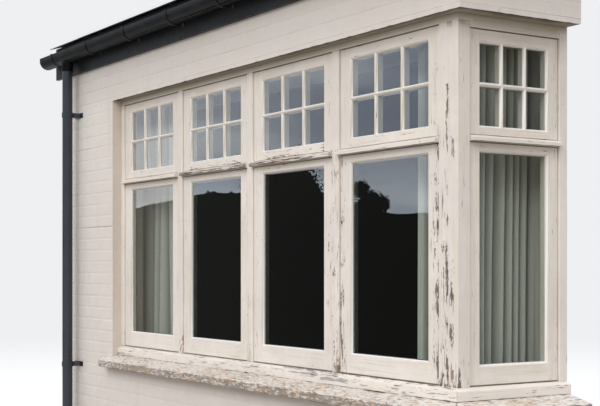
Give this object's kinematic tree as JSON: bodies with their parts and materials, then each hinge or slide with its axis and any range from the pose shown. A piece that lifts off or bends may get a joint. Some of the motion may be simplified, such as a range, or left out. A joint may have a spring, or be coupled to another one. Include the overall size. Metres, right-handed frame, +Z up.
{
  "type": "brick bay window with timber casements",
  "caption": "Painted brick bay with timber casements and small-paned fanlights on the front and one side, stone sill, lean-to roof and gutter.",
  "frame": {"origin": "on the ground, at the middle of the bay's width, in the plane of the house wall", "axes": "+X along the front to the side light, +Y into the house, +Z up"},
  "size_m": [4.5, 0.838, 3.3885],
  "materials": {
    "painted_brick": "masonry paint",
    "painted_wood": "flaking gloss paint",
    "sill_stone": "weathered",
    "concrete": "floated",
    "glass": "clear",
    "curtain_cloth": "woven",
    "white_metal": "satin",
    "painted_steel": "masonry paint",
    "plaster": "matt paint",
    "bare_wood": "sawn",
    "slate": "riven",
    "lead": "dull",
    "dark_board": "dark gloss paint",
    "dark_plastic": "semi-gloss"
  },
  "bodies": {
    "root": {"front_wall": "painted_brick", "side_wall": "painted_brick", "left_pier": "painted_brick", "left_side_wall": "painted_brick", "brick_band_front": "painted_brick", "brick_band_side": "painted_brick", "floor_slab": "concrete", "curtain_track": "white_metal", "lintel_front": "painted_steel", "lintel_side": "painted_steel", "stone_sill_front": "sill_stone", "stone_sill_side": "sill_stone", "timber_cill_front": "painted_wood", "timber_cill_side": "painted_wood", "frame_head_front": "painted_wood", "frame_head_side": "painted_wood", "left_jamb": "painted_wood", "mullion_1": "painted_wood", "mullion_2": "painted_wood", "mullion_3": "painted_wood", "corner_post": "painted_wood", "house_jamb": "painted_wood", "front_transoms": "painted_wood", "side_transom": "painted_wood", "casement_1": "painted_wood", "casement_2": "painted_wood", "casement_3": "painted_wood", "casement_4": "painted_wood", "side_casement": "painted_wood", "fanlight_1": "painted_wood", "fanlight_2": "painted_wood", "fanlight_3": "painted_wood", "fanlight_4": "painted_wood", "side_fanlight": "painted_wood", "window_board_front": "painted_wood", "window_board_side": "painted_wood", "casement_glass": "glass", "fanlight_glass": "glass", "side_glass": "glass", "ceiling": "plaster", "curtain_left": "curtain_cloth", "curtain_right_front": "curtain_cloth", "curtain_right_side": "curtain_cloth", "wall_plate": "bare_wood", "ledger": "bare_wood", "rafters": "bare_wood", "ceiling_joists": "bare_wood", "roof_deck": "bare_wood", "roof_slates": "slate", "lead_flashing": "lead", "verge_boards": "dark_board", "fascia": "dark_board", "gutter": "dark_plastic", "gutter_brackets": "dark_plastic", "downpipe": "dark_plastic", "pipe_clips": "dark_plastic"}
  },
  "joints": []
}
